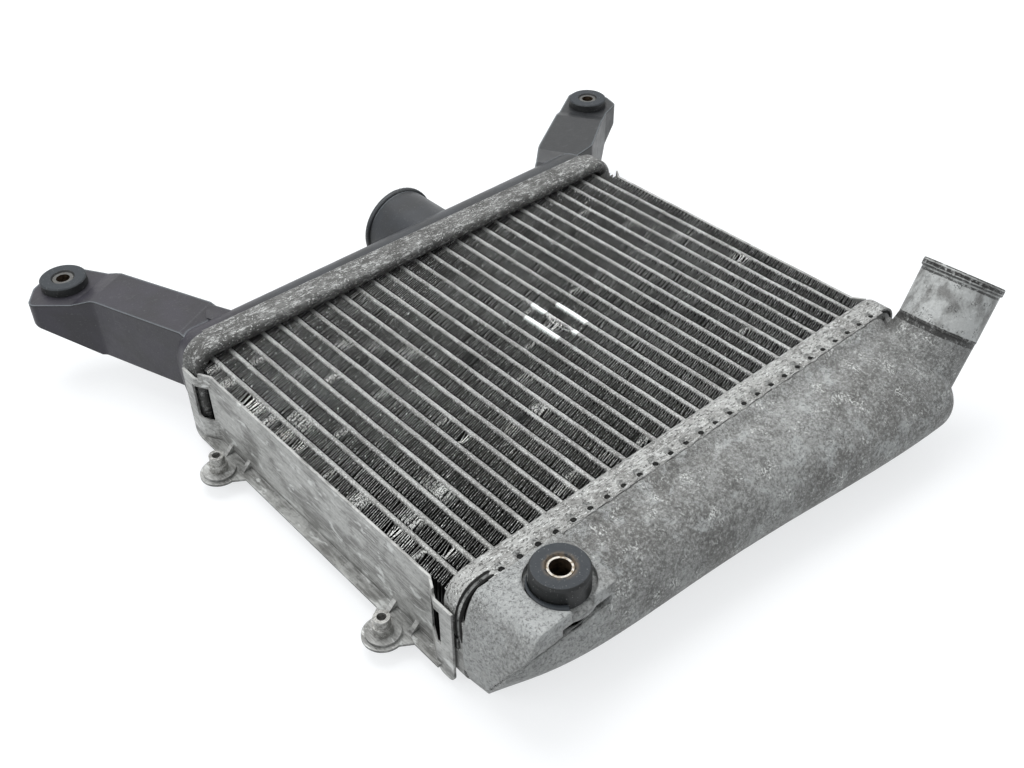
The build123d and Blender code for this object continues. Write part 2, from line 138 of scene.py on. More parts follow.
class Finish:
    """A procedural material; the sockets that are the same all over are set when it is made."""

    def __init__(self, name, **constants):
        self.material = bpy.data.materials.new(name)
        self.material.use_nodes = True
        self.tree = self.material.node_tree
        self.tree.nodes.clear()
        self.shader = self.tree.nodes.new("ShaderNodeBsdfPrincipled")
        self.output = self.tree.nodes.new("ShaderNodeOutputMaterial")
        self.tree.links.new(self.shader.outputs[0], self.output.inputs[0])
        self.set(**constants)

    def node(self, kind, settings=None, sockets=None, out=0):
        made = self.tree.nodes.new("ShaderNode" + kind)
        for key, value in (settings or {}).items():
            setattr(made, key, value)
        for key, value in (sockets or {}).items():
            self.plug(value, made.inputs[key])
        return Value(self, made.outputs[out])

    def plug(self, value, socket):
        if isinstance(value, Value):
            self.tree.links.new(value.socket, socket)
        else:
            socket.default_value = value

    def set(self, **sockets):
        for key, value in sockets.items():
            self.plug(value, self.shader.inputs[key.replace("_", " ")])
        return self

    def on(self, *objects):
        for thing in objects:
            thing.data.materials.clear()
            thing.data.materials.append(self.material)
        return self

    def place(self):
        """Where the surface is, in millimetres from the middle of the core."""
        where = self.node("TexCoord", out="Object")
        where = self.node("VectorMath", {"operation": "SUBTRACT"}, {0: where, 1: middle})
        return self.node("VectorMath", {"operation": "SCALE"}, {"Vector": where, "Scale": 1 / MM})

    def stretched(self, place, by):
        return self.node("VectorMath", {"operation": "MULTIPLY"}, {0: place, 1: by})

    def xyz(self, place):
        return [self.node("SeparateXYZ", None, {0: place}, out=i) for i in range(3)]

    def distance(self, place, spot):
        return self.node("VectorMath", {"operation": "DISTANCE"}, {0: place, 1: spot}, out="Value")

    def noise(self, place, size, detail=4.0, roughness=0.55, distortion=0.0):
        """A cloudy pattern from 0 to 1, with clouds of about that many millimetres."""
        return self.node("TexNoise", None, {"Vector": place, "Scale": 1.0 / size, "Detail": detail,
                                            "Roughness": roughness, "Distortion": distortion})

    def mix(self, factor, a, b):
        return self.node("Mix", {"data_type": "RGBA"}, {0: factor, 6: a, 7: b}, out=2)

    def bump(self, height, distance, base=None):
        sockets = {"Height": height, "Distance": distance * MM}
        if base:
            sockets["Normal"] = base
        return self.node("Bump", None, sockets)

    def rounded(self, radius):
        """The surface's normal with its sharp edges rounded off."""
        return self.node("Bevel", {"samples": 6}, {"Radius": radius * MM})

    def edges(self, radius):
        """1 on sharp edges, fading to 0 on open faces."""
        same = self.dot(self.rounded(radius), self.node("NewGeometry", out="Normal"))
        return same.between(0.99, 0.80)

    def dot(self, a, b):
        return self.node("VectorMath", {"operation": "DOT_PRODUCT"}, {0: a, 1: b}, out="Value")

    def facing(self, axis, low, high):
        """0 on faces turned less than low towards that axis, 1 on those turned more than high."""
        return self.xyz(self.node("NewGeometry", out="Normal"))["xyz".index(axis)].between(low, high)

    def facing_up(self):
        """1 on faces that look up, 0 on upright ones."""
        return self.facing("z", 0.35, 0.75)


def grey(level, warm=0.0):
    """A grey of that brightness in linear light, a little warm or, below zero, cool."""
    return (level * (1 + warm), level * 1.02, level * (1 - warm), 1.0)


def specks(f, place, size, share):
    """Scattered grains of about that size; share is how much of the surface they cover."""
    grain = f.noise(place, size, 2.0, 0.5)
    return grain.between(0.66 - share * 0.28, 0.70 - share * 0.28)


def lattice(name, grids, ring=False, smooth=True):
    """One mesh from grids of points in millimetres; a ring closes each grid's second direction."""
    points, faces, start = [], [], 0
    for grid in grids:
        n, m = grid.shape[:2]
        points.append(grid.reshape(-1, 3))
        index = start + np.arange(n * m).reshape(n, m)
        if ring:
            index = np.concatenate([index, index[:, :1]], axis=1)
        corners = (index[:-1, :-1], index[1:, :-1], index[1:, 1:], index[:-1, 1:])
        faces.append(np.stack([c.reshape(-1) for c in corners], axis=1))
        start += n * m
    points = np.concatenate(points) * MM + np.array(middle)
    data = bpy.data.meshes.new(name)
    data.from_pydata(points.tolist(), [], np.concatenate(faces).tolist())
    data.polygons.foreach_set("use_smooth", [smooth] * len(data.polygons))
    made = bpy.data.objects.new(name, data)
    bpy.context.scene.collection.objects.link(made)
    return made


def wander(rng, along, size, step):
    """A smooth random curve over the places in along, about as large as size."""
    knots = np.arange(along.min() - 2 * step, along.max() + 3 * step, step)
    rough = np.interp(along, knots, rng.normal(0, size, len(knots)))
    return np.convolve(np.pad(rough, 2, mode="edge"), np.ones(5) / 5, mode="valid")


def tube_grid(i, rng):
    """Rings of points round one tube, from its front end to its rear end."""
    y = np.linspace(-half_run, half_run, TUBE_RINGS)
    turn = np.linspace(0, np.pi, NOSE_POINTS)
    arc = np.stack([np.cos(turn), np.sin(turn)], axis=1) * NOSE
    top, bottom = arc + (0, half_depth - NOSE), -arc - (0, half_depth - NOSE)
    ring = np.concatenate([top, bottom])
    grid = np.zeros((len(y), len(ring), 3))
    grid[:, :, 0] = ring[:, 0] + (tube_x(i) + wander(rng, y, *SWAY))[:, None]
    grid[:, :, 1] = y[:, None]
    grid[:, :, 2] = ring[:, 1]
    grid[:, 1:NOSE_POINTS - 1, 2] -= np.abs(wander(rng, y, *DENT))[:, None]
    if i == TORN_TUBE:
        # the nose has split: its lips stand apart and the crown has sunk between them
        gape = np.clip(1 - ((y - TORN_AT) / TORN_HALF) ** 2, 0, 1)[:, None]
        across = ring[:NOSE_POINTS, 0] / NOSE
        grid[:, :NOSE_POINTS, 0] += gape * (across * LIP_SPREAD - LIP_SHIFT)
        grid[:, 2:NOSE_POINTS - 2, 2] -= gape * CROWN_SINK
    return grid


rng = np.random.default_rng(7)
tubes = lattice("tubes", [tube_grid(i, rng) for i in range(TUBES)], ring=True)
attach(tubes, "root")
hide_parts("core_tubes")


def painted(f, place):
    """White paint on the noses of the leaking tube and of the tubes beside it."""
    x, y, z = f.xyz(place)
    ragged = f.noise(place, 1.1, 4.0, 0.7) - 0.5
    run = y + ragged * PAINT_WAVER
    marks = []
    for tube, low, high in PAINT:
        stretch = run.between(low - 0.3, low + 0.5) * run.between(high + 0.3, high - 0.5)
        off_tube = abs(x - (tube_x(tube) - 0.5) + ragged * PAINT_FRAY)
        marks.append(stretch * off_tube.between(PAINT_HALF + 0.15, PAINT_HALF - 0.15))
    mask = marks[0]
    for mark in marks[1:]:
        mask = mask.either(mark)
    return mask * z.between(half_depth - 2.6, half_depth - 1.6)


f = Finish("tube_aluminium", Metallic=0.25)
place = f.place()
x, y, z = f.xyz(place)
along = f.stretched(place, (1.0, 0.35, 1.0))
shade = f.mix(f.noise(place, 30.0, 3.0).between(0.38, 0.62), grey(0.24, 0.02), grey(0.38, 0.01))
# dirt, rubbed streaks, pits and salt
shade = f.mix(f.noise(place, 1.6, 6.0, 0.7).between(0.50, 0.36) * 0.6, shade, grey(0.09, 0.03))
shade = f.mix(f.noise(along, 5.0, 5.0, 0.7).between(0.52, 0.68) * 0.6, shade, grey(0.55))
shade = f.mix(f.noise(place, 0.75, 2.0).between(0.48, 0.38) * 0.75, shade, grey(0.07, 0.02))
salt = f.noise(f.stretched(place, (1.0, 1.0, 0.9)), 0.8, 2.0).between(0.54, 0.64)
shade = f.mix(salt * 0.6, shade, grey(0.78))
# below the nose the tube's sides are painted dark: painted shade down between the fins
shaded_below_nose = abs(z).between(half_depth - 0.6, half_depth - 2.6)
shade = f.mix(shaded_below_nose, shade, grey(0.03))
# the lips of the tear are bare, bright metal
torn = abs(x - tube_x(TORN_TUBE) + 0.5).between(3.2, 2.4)
torn *= abs(y - TORN_AT).between(TORN_HALF + 1.0, TORN_HALF - 2.0)
torn *= z.between(half_depth - 2.6, half_depth - 1.2) * f.noise(place, 1.0, 3.0).between(0.42, 0.56)
shade = f.mix(torn * 0.8, shade, grey(0.80))
shade = f.mix(painted(f, place), shade, grey(WHITE_PAINT, -0.01))
f.set(Base_Color=shade, Roughness=f.noise(place, 1.2) * 0.3 + 0.38,
      Normal=f.bump(f.noise(along, 0.8, 4.0), 0.22))
f.on(tubes)

# ---------------------------------------------------------------- fins of the core
# Between the tubes, strips of thin aluminium folded to and fro and brazed at the folds. They are dark
# with road dirt and painted darker down between the sheets as shade; their top edges are scuffed
# bright with a painted highlight, and stones and handling have bent small groups that carry a painted
# glint.
FIN_PITCH, FIN_JITTER = 1.42, 0.05
# how far a sheet leans within a fold, runs askew over its row, and is burred over at its edges
FIN_DRIFT, FIN_SLANT, FIN_BURR = 0.24, 2.6, 0.27
FIN_HALF = (PITCH - TUBE_WIDTH) / 2
FOLD_INSET, FOLD_REACH, FOLD_LEAN = 0.06, 0.55, 0.3
fin_low, fin_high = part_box("core_fins")
fin_run = (fin_high.y - fin_low.y) / 2 / MM
END_ROW_RUN = fin_run - 5.5
# heights of the points down a sheet, as a share of half the core's depth
FIN_LEVELS = np.array([0.998, 1.0, 0.955, 0.0, -0.955, -1.0, -0.998])
# the sheets' middle lies this far back, so that no light falls straight through
CHEVRON = 1.3
# row, place along it, reach, push along the row: where the fins are knocked over
KNOCKS = ((-0.5, 105, 4, 1.8), (-0.5, 45, 5, 2.0), (-0.5, 18, 5, -1.8), (-0.5, -12, 4, 1.8),
          (-0.5, -40, 6, 2.2), (-0.5, -66, 5, -2.0), (-0.5, -88, 4, 1.8), (0.5, -70, 7, 1.8),
          (0.5, -95, 4, -1.8), (1.5, 10, 5, 1.6), (2.5, -62, 13, 2.6), (5.5, -20, 4, 1.6),
          (5.5, -37, 4, -1.8), (9.5, -48, 9, 2.2), (-0.5, 89, 7, 2.0), (-0.5, 66, 9, -2.2),
          (0.5, 35, 11, 2.4), (1.5, 95, 5, 1.8), (3.5, 52, 5, 2.2), (11.5, -105, 4, 2.4),
          (12.5, -2, 4, 1.6), (14.5, 5, 9, -2.4), (14.5, 24, 4, 1.6), (17.5, 20, 4, 2.0),
          (21.5, -79, 5, 2.0), (23.5, 83, 4, 1.8), (26.5, -25, 7, -2.0), (7.5, -98, 6, 1.6))
# row, place along it, reach, brightness: patches scuffed pale with a painted glint, or soaked dark
# below zero
PATCHES = ((-0.5, -37, 10, 0.8), (-0.5, -75, 9, 0.8), (-0.5, 30, 9, 0.7), (-0.5, 60, 14, 0.9),
           (0.5, -63, 10, 0.8), (4.5, 23, 8, 0.7), (5.5, 74, 9, 0.8), (7.5, 42, 12, 0.7),
           (6.5, 60, 14, 0.5), (7.5, -49, 8, 0.7), (10.5, -22, 9, 0.7), (6.5, -101, 6, 0.9),
           (9.5, -99, 8, 0.6), (24.5, 52, 8, 0.6), (26.5, -25, 9, 0.9), (25.5, 20, 10, 0.5),
           (2.5, -50, 16, 0.4), (0.5, 30, 14, 0.6), (2.5, 70, 12, 0.5), (8.5, -46, 9, -0.8),
           (9.5, 10, 14, -0.6), (20.5, -50, 13, -1.0), (19.5, -28, 14, -0.8), (15.5, 10, 15, -0.7),
           (13.5, 60, 16, -0.4))


def spread(spots, rows, y):
    """Bell curves over the places y of the given rows, one for each spot."""
    total = np.zeros_like(y)
    for row, place, reach, size in spots:
        across = np.exp(-((rows - row) / 0.6) ** 2)
        total += size * across * np.exp(-((y - place) / (reach * 0.6)) ** 2)
    return total


def fin_row(row, rng):
    """Points of one folded strip: along its path, and from its top edge to its bottom edge."""
    run = fin_run if 0 < row < TUBES - 1 else END_ROW_RUN
    sheets = int(2 * run / FIN_PITCH)
    y = np.linspace(-run, run, sheets) + rng.normal(0, FIN_JITTER, sheets)
    side = np.where(np.arange(sheets) % 2 == 0, -1.0, 1.0)
    # each sheet runs from the fold behind it to the fold before it
    fold = FIN_HALF - FOLD_INSET
    flat = fold - FOLD_REACH
    path_x = np.stack([-side * fold, -side * flat, side * flat, side * fold], axis=1)
    lean = np.array([-FOLD_LEAN, -FIN_DRIFT / 2, FIN_DRIFT / 2, FOLD_LEAN]) * FIN_PITCH
    path_y = y[:, None] + lean + FIN_SLANT / 2 * path_x / FIN_HALF
    rows = np.full(path_y.shape, row)
    knock, pale = spread(KNOCKS, rows, path_y), spread(PATCHES, rows, path_y)
    # a sheet is free to bend between its folds, and most at its upper and lower edges
    inner = np.array([0.15, 0.9, 0.9, 0.15])
    tip = np.array([1.0, 0.9, 0.45, 0.0, 0.45, 0.9, 1.0])
    grid = np.zeros((sheets * 4, len(FIN_LEVELS), 3))
    burr = np.array([-FIN_BURR, 0.0, 0.0, 0.0, 0.0, 0.0, -FIN_BURR])
    ragged = 1 + rng.normal(0, 0.22, path_y.shape)
    mess = rng.normal(0, 1, (sheets, 1)) * (0.17 + 0.28 * np.minimum(np.abs(knock), 1.5))
    lift = np.where(FIN_LEVELS > 0, 1.0, 0.25)
    for level, (height, bend, side_share, over) in enumerate(zip(FIN_LEVELS, tip, lift, burr)):
        push = (knock * inner + mess * inner) * bend * side_share
        grid[:, level, 0] = (tube_x(row) + path_x).reshape(-1)
        back = CHEVRON * (1 - abs(height))
        grid[:, level, 1] = (path_y + push + over * ragged + back).reshape(-1)
        drop = np.abs(push) * 0.22 + 0.12 + np.abs(rng.normal(0, 0.07, (sheets, 1)))
        at_edge = np.sign(height) * (abs(height) > 0.9)
        grid[:, level, 2] = (height * half_depth - at_edge * drop).reshape(-1)
    # knocked fins are made paler as well: a painted glint where bent sheets catch the light
    scuff_and_glint = np.repeat((pale + 0.5 * np.abs(knock)).reshape(-1), len(FIN_LEVELS))
    return grid, scuff_and_glint


def fin_block(name, rows, rng):
    made = [fin_row(row, rng) for row in rows]
    piece = lattice(name, [grid for grid, _ in made], smooth=False)
    mark = piece.data.attributes.new("scuff_and_glint", "FLOAT", "POINT")
    mark.data.foreach_set("value", np.concatenate([scuff_and_glint for _, scuff_and_glint in made]))
    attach(piece, "root")
    return piece


rng = np.random.default_rng(11)
gaps = [i + 0.5 for i in range(-1, TUBES)]
LEFT_ROWS = 15
fins_left = fin_block("fins_left", gaps[:LEFT_ROWS], rng)
fins_right = fin_block("fins_right", gaps[LEFT_ROWS:], rng)
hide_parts("core_fins")
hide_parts("core_fins")

f = Finish("fin_aluminium", Metallic=0.2)
place = f.place()
below = half_depth - abs(f.xyz(place)[2])
scuff_and_glint = f.node("Attribute", {"attribute_name": "scuff_and_glint"}, out="Fac")
soaked, worn_and_glinting = scuff_and_glint.between(-0.1, -0.7), scuff_and_glint.between(0.1, 0.9)
dirt = f.noise(place, 42.0, 3.0, 0.6)
edge_grain = f.noise(place, 0.9, 3.0, 0.6)
# the top edge is pale, partly scuffed bare metal and partly a painted highlight; its bright grains
# and the flecks just below it are partly painted glints
bare_and_lit_edge = below.between(0.46, 0.28)
edge_tone = f.mix(dirt.between(0.36, 0.64), grey(0.11, 0.02), grey(0.28, 0.01))
# darker down the sheet below its top edge: painted shade between the sheets
shade = f.mix(below.between(1.2, 0.5), grey(0.006), grey(0.045, 0.03))
shade = f.mix(bare_and_lit_edge, shade, edge_tone)
shade = f.mix(bare_and_lit_edge * edge_grain.between(0.52, 0.38) * 0.75, shade, grey(0.05, 0.04))
shade = f.mix(bare_and_lit_edge * edge_grain.between(0.54, 0.64) * 0.7, shade, grey(0.80))
flecks = specks(f, f.stretched(place, (1.0, 1.0, 0.4)), 1.5, -0.02)
shade = f.mix(flecks * below.between(1.6, 1.0), shade, grey(0.90))
# pale where scuffed, partly a painted glint on the bent fins
scuffed_and_glinting = worn_and_glinting * below.between(2.0, 0.9) * edge_grain.between(0.42, 0.54)
shade = f.mix(scuffed_and_glinting, shade, grey(0.92, 0.01))
shade = f.mix(soaked * 0.7, shade, grey(0.020, -0.05))
shade = f.mix(painted(f, place), shade, grey(WHITE_PAINT, -0.01))
f.set(Base_Color=shade, Roughness=f.noise(place, 2.0) * 0.25 + 0.45)
f.on(fins_left, fins_right)

# ---------------------------------------------------------------- header plates
# Two pressed aluminium pans that the tubes are brazed into. A half-round gutter runs round each, and
# its outer edge is folded over the tank's foot. Salt has eaten the front one's surface to a white
# crust.
ROLL_PITCH, ROLL_SHIFT, ROLLS = 11.77, 1.7, 26
ROLL_Y, ROLL_Z, ROLL_STEPS = -129.7, 34.5, 12
HOLE_RADIUS, HOLE_RIM, HOLE_Y, HOLE_Z = 2.2, 0.5, -127.9, 34.95
HOLE_SHIFT = 0.8
HOLES = np.arange(ROLLS) * ROLL_PITCH + HOLE_SHIFT - 12.5 * ROLL_PITCH


def crust(name, bright, dark, salt, pits, flecks, side_shade):
    """Corroded sheet: two greys, salt, pits and flecks; side_shade is how far painted shade darkens
    its sides.
    """
    f = Finish(name, Metallic=0.2)
    place = f.place()
    top, upper = f.facing_up(), f.xyz(place)[2].between(-6.0, half_depth)
    streaky = f.stretched(place, (0.4, 1.0, 1.0))
    shade = f.mix(f.noise(place, 16.0, 4.0).between(0.38, 0.62), grey(dark, 0.02), grey(bright, 0.01))
    # faces that do not look up are painted darker: painted shade on the sides
    shade = f.mix((1 - top) * side_shade, shade, grey(0.03, 0.02))
    # salt shows most on faces that look up: real salt, partly brightened there as a painted highlight
    salt_and_top_light = f.noise(streaky, 2.4, 7.0, 0.8).between(0.51, 0.59) * (0.55 + top * 0.3)
    shade = f.mix(salt_and_top_light, shade, grey(salt))
    pitted = f.noise(streaky, 1.3, 7.0, 0.8).between(0.50, 0.41) * upper
    shade = f.mix(pitted * pits, shade, grey(0.040, 0.04))
    flecked = specks(f, f.stretched(place, (0.7, 1.0, 1.0)), 0.9, 0.05) * upper
    shade = f.mix(flecked * flecks, shade, grey(0.85))
    # pale along the edges: partly worn metal, partly a painted highlight
    shade = f.mix(f.edges(0.5) * 0.45, shade, grey(0.62))
    relief = f.noise(place, 1.1, 4.0, 0.65) + f.noise(place, 5.0, 3.0)
    f.set(Base_Color=shade, Roughness=f.noise(place, 1.5) * 0.3 + 0.42,
          Normal=f.bump(relief, 0.35, f.rounded(0.5)))
    return f


front_crust = crust("header_front_aluminium", bright=0.40, dark=0.24, salt=0.58,
                    pits=0.95, flecks=0.9, side_shade=0.15)
rear_crust = crust("header_rear_aluminium", bright=0.15, dark=0.07, salt=0.46,
                   pits=0.85, flecks=0.7, side_shade=0.55)
front_crust.on(nodes["header_plate_front"])
rear_crust.on(nodes["header_plate_rear"])

# the folded edge curls up between the round holes that relieve it, and each hole has a raised rim
rng = np.random.default_rng(3)
span = ROLLS * ROLL_PITCH / 2
x = np.linspace(-span, span, ROLLS * ROLL_STEPS + 1) + ROLL_SHIFT
turn = np.linspace(0, 2 * np.pi, 9)[:-1]
swell = 0.62 + 0.40 * np.clip(-np.cos(2 * np.pi * (x - ROLL_SHIFT) / ROLL_PITCH), -0.6, 1)
swell *= 1 + wander(rng, x, 0.22, 3.0)
roll = np.zeros((len(x), len(turn), 3))
roll[:, :, 0] = x[:, None]
roll[:, :, 1] = ROLL_Y + wander(rng, x, 0.3, 5.0)[:, None] + np.cos(turn) * swell[:, None] * 1.1
roll[:, :, 2] = ROLL_Z + np.sin(turn) * swell[:, None]
rims = []
round_hole = np.linspace(0, 2 * np.pi, 17)
for hole in HOLES:
    thick = HOLE_RIM * (1 + rng.normal(0, 0.18, 16))
    thick = np.append(thick, thick[0])[:, None]
    reach = HOLE_RADIUS + np.cos(turn) * thick
    rim = np.stack([hole + np.cos(round_hole)[:, None] * reach,
                    HOLE_Y + np.sin(round_hole)[:, None] * reach * 0.95,
                    HOLE_Z + np.sin(turn) * thick], axis=2)
    rims.append(rim)
    # metal drawn down round the hole, on the side towards the tubes
    lip = rim[:, 4]
    turned_in = np.stack([lip, lip * (1, 1, 0) + (0, 0, HOLE_Z + 0.15)], axis=1)
    drawn = np.stack([np.cos(round_hole) * 0.9, np.abs(np.sin(round_hole)) * 3.2], axis=1)
    turned_in[:, 1, :2] += drawn
    rims.append(np.concatenate([turned_in, turned_in[:, ::-1] - (0, 0, 0.02)], axis=1)[:9])
rolled_edge = lattice("rolled_edge", [roll, *rims], ring=True)
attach(rolled_edge, "root")
front_crust.on(rolled_edge)

# ---------------------------------------------------------------- gaskets
# Moulded rubber rings in the gutters, squeezed by the tanks' feet. They show black at the pans' open
# corners, greyed with dust along the edge.
GASKET_BAND, OPEN_CORNER = -126.3, -150.0
f = Finish("gasket_rubber", Specular_IOR_Level=0.12)
place = f.place()
x, y, _ = f.xyz(place)
shade = f.mix(f.noise(place, 2.0, 4.0).between(0.4, 0.7), grey(0.006), grey(0.020, 0.02))
# a painted highlight along its edges
shade = f.mix(f.edges(0.4) * 0.4, shade, grey(0.14, 0.01))
dusty = abs(y - GASKET_BAND).between(1.0, 0.5) * x.between(OPEN_CORNER, OPEN_CORNER - 4.0)
dusty *= f.noise(place, 2.5, 5.0, 0.7).between(0.35, 0.55)
shade = f.mix(dusty * 0.8, shade, grey(0.24))
f.set(Base_Color=shade, Roughness=f.noise(place, 1.5) * 0.3 + 0.42,
      Normal=f.bump(f.noise(place, 1.0), 0.1, f.rounded(0.4)))
f.on(nodes["gasket_front"], nodes["gasket_rear"])

# it is bare where the pan's near corner is left open, and shows as black spots in the relief holes
# its path round the corner in x and z, and its section in y and height above that path
CORNER = np.array([(-151.0, 34.6), (-154.0, 35.0), (-157.5, 34.85), (-161.0, 34.15), (-164.0, 32.8),
                   (-166.6, 30.8), (-168.9, 27.8), (-170.7, 24.0), (-171.8, 19.5), (-172.0, 14.0),
                   (-172.0, 8.0), (-171.6, 2.0)])
BEAD = np.array([(-123.5, -0.5), (-123.8, 0.5), (-124.7, 0.95), (-125.5, 0.5), (-126.2, 0.25),
                 (-127.0, 0.5), (-127.8, 0.9), (-128.5, 0.5), (-128.7, -0.5)])
BARE_STEPS, SPOT_Z = 60, 35.04
steps = np.linspace(0, len(CORNER) - 1, BARE_STEPS)
path = np.stack([np.interp(steps, range(len(CORNER)), CORNER[:, i]) for i in range(2)], axis=1)
run = np.gradient(path, axis=0)
outward = np.stack([run[:, 1], -run[:, 0]], axis=1) / np.linalg.norm(run, axis=1)[:, None]
lift = BEAD[:, 1] * np.sin(np.linspace(0.15, np.pi - 0.15, BARE_STEPS))[:, None] ** 0.3
bare = np.stack([path[:, :1] + outward[:, :1] * lift,
                 np.repeat(BEAD[None, :, 0], BARE_STEPS, axis=0),
                 path[:, 1:] + outward[:, 1:] * lift], axis=2)
spots = []
for hole in HOLES:
    rings = ((0.1, SPOT_Z), (HOLE_RADIUS, SPOT_Z), (HOLE_RADIUS, SPOT_Z - 0.5))
    spots.append(np.array([[(hole + np.cos(a) * r, HOLE_Y + np.sin(a) * r, z) for r, z in rings]
                           for a in np.linspace(0, 2 * np.pi, 17)]))
bare_gasket = lattice("bare_gasket", [bare, *spots])
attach(bare_gasket, "root")
f.on(bare_gasket)

# ---------------------------------------------------------------- cast tank
# A sand casting in aluminium with its leaning spigot and the boss for the bushing. The skin is
# mottled by corrosion, pitted near the header plate and rubbed dark along the belly, which painted
# shade darkens too.
SPIGOT_ROOT, SPIGOT_TIP = Vector((171.5, -158.5, 32.5)), Vector((191.0, -157.1, 61.5))
LEAN = (SPIGOT_TIP - SPIGOT_ROOT).normalized()
SPIGOT_BORE = 20.6
# how far up the spigot each groove or crease lies, its half width and how dark it is
GROOVES = ((28.4, 0.4, 0.9), (30.5, 0.35, 0.9), (32.6, 0.7, 1.0), (35.0, 0.4, 1.0),
           (0.0, 0.9, 1.0), (-2.3, 1.2, 0.9))
STAIN = (196.0, -180.0, 42.0)
tank = nodes["tank_cast"]

f = Finish("cast_aluminium", Metallic=0.22)
place = f.place()
x, y, z = f.xyz(place)
cloud = f.noise(place, 55.0, 4.0, 0.6)
blotch = f.noise(place, 15.0, 6.0, 0.68, 0.8)
grain = f.noise(place, 1.7, 8.0, 0.8)
near_end = x.between(-112.0, -128.0)
shade = f.mix(cloud.between(0.38, 0.62), grey(0.15, 0.02), grey(0.29, 0.0))
shade = f.mix(blotch.between(0.52, 0.63) * 0.65, shade, grey(0.46, -0.02))
shade = f.mix(blotch.between(0.47, 0.36) * 0.6, shade, grey(0.09, 0.02))
belly = z.between(4.0, -20.0)
# darker towards the bottom: painted shade under the light from above
shade = f.mix(belly * 0.35 * (1 - near_end), shade, grey(0.12, 0.06))
shade = f.mix(near_end * 0.5, shade, grey(0.40, -0.01))
# the boss's top is painted lighter: painted light from above
shade = f.mix(near_end * z.between(30.0, 36.0) * 0.5, shade, grey(0.50, -0.02))
# the far end is painted darker: painted shade against the light from above and behind
shade = f.mix(x.between(80.0, 150.0) * 0.35, shade, grey(0.13))
shade = f.mix(grain.between(0.51, 0.60) * 0.6, shade, grey(0.52))
shade = f.mix(grain.between(0.49, 0.41) * 0.65, shade, grey(0.06, 0.03))
# pits and white salt in loose patches, thickest beside the header plate
patch = f.noise(place, 9.0, 5.0, 0.7).between(0.50, 0.64)
by_header = y.between(-148.0, -134.0) * 0.7 * z.between(15.0, 26.0)
eaten = (patch * (1 - near_end * 0.8)).either(by_header)
shade = f.mix(specks(f, place, 0.75, 0.40) * eaten * 0.75, shade, grey(0.045, 0.05))
other = f.noise(f.stretched(place, (1.0, 1.0, 1.2)), 10.0, 5.0, 0.7).between(0.52, 0.66)
other *= 1 - near_end * 0.6
white = specks(f, f.stretched(place, (1.1, 0.9, 1.0)), 1.2, 0.45)
shade = f.mix(white * other * 0.75, shade, grey(0.80))
# short rubbed strokes, mostly down the belly
strokes = f.noise(f.stretched(place, (1.0, 0.14, 0.14)), 1.3, 3.0, 0.6)
shade = f.mix(strokes.between(0.55, 0.68) * belly * 0.5, shade, grey(0.07, 0.06))
shade = f.mix(strokes.between(0.44, 0.34) * (belly * 0.3 + 0.12), shade, grey(0.38, 0.03))
# the spigot is turned smooth, and its paler patches are a painted sheen; soot specks it, grooves
# darken its bead, and the crease at its root is darker
off_root = f.node("VectorMath", {"operation": "SUBTRACT"}, {0: place, 1: SPIGOT_ROOT})
up = f.dot(off_root, LEAN)
turned = up.between(0.0, 1.0)
sheen_patches = f.noise(f.stretched(place, (1.0, 1.0, 0.5)), 9.0, 5.0, 0.65).between(0.36, 0.60)
shade = f.mix(turned * 0.72, shade, f.mix(sheen_patches, grey(0.19, 0.01), grey(0.58, -0.01)))
sooty = f.noise(place, 6.0, 4.0, 0.7).between(0.52, 0.64)
shade = f.mix(turned * sooty * specks(f, place, 0.9, 0.5) * 0.8, shade, grey(0.05))
shade = f.mix(up.between(0.0, -6.0) * x.between(150.0, 172.0) * 0.45, shade, grey(0.10, 0.02))
wobble = f.noise(place, 3.0, 3.0) * 1.2 - 0.6
groove_darkening = f.noise(place, 2.6, 5.0, 0.7).between(0.30, 0.50)
for groove, half, depth in GROOVES:
    line = abs(up - groove + wobble * (0.4 + half * 0.5)).between(half + 0.6, half)
    shade = f.mix(line * depth * groove_darkening, shade, grey(0.012, 0.03))
stain = f.distance(place, STAIN) + wobble * 3.0
shade = f.mix(stain.between(7.5, 2.0) * 0.85, shade, grey(0.05, 0.05))
off_axis = f.node("VectorMath", {"operation": "CROSS_PRODUCT"}, {0: off_root, 1: LEAN})
inside = f.node("VectorMath", {"operation": "LENGTH"}, {0: off_axis}, out="Value")
inside = inside.between(SPIGOT_BORE + 0.6, SPIGOT_BORE) * up.between(-14.0, -8.0)
shade = f.mix(inside, shade, grey(0.06, 0.04))
# pale along the edges: partly worn metal, partly a painted highlight
shade = f.mix(f.edges(1.8) * 0.45, shade, grey(0.55))
relief = f.noise(place, 1.4, 5.0, 0.7) * (1 - turned * 0.8) + f.noise(place, 7.0, 4.0) * 1.6
f.set(Base_Color=shade, Roughness=grain * 0.35 + 0.36, Normal=f.bump(relief, 0.7, f.rounded(2.0)))
f.on(tank)
cast_finish = f

# the foot's rounded shoulder stands as high as the header plate that is folded over it
SHOULDER_X, SHOULDER_TOP, SHOULDER_Y = (-109.5, 163.0), 34.5, -130.05
SHOULDER_STEPS, SHOULDER_FADE = 140, 14.0
# down the shoulder: how far out from the header plate, how much higher, and how far it is blended
# into the casting
FALL = np.array([0.0, 0.0, 0.35, 1.2, 2.6, 4.6, 7.2, 10.4])
RISE = np.array([-2.0, -0.4, 0.0, -0.1, -0.35, -0.7, -1.2, -1.8])
BLEND = np.array([0.0, 0.0, 0.0, 0.0, 0.12, 0.45, 0.85, 1.0])


def casting_height(x, y):
    struck, spot, _, _ = tank.ray_cast(at(x, y, 80), Vector((0, 0, -1)))
    return (spot - middle).z / MM if struck else 30.0


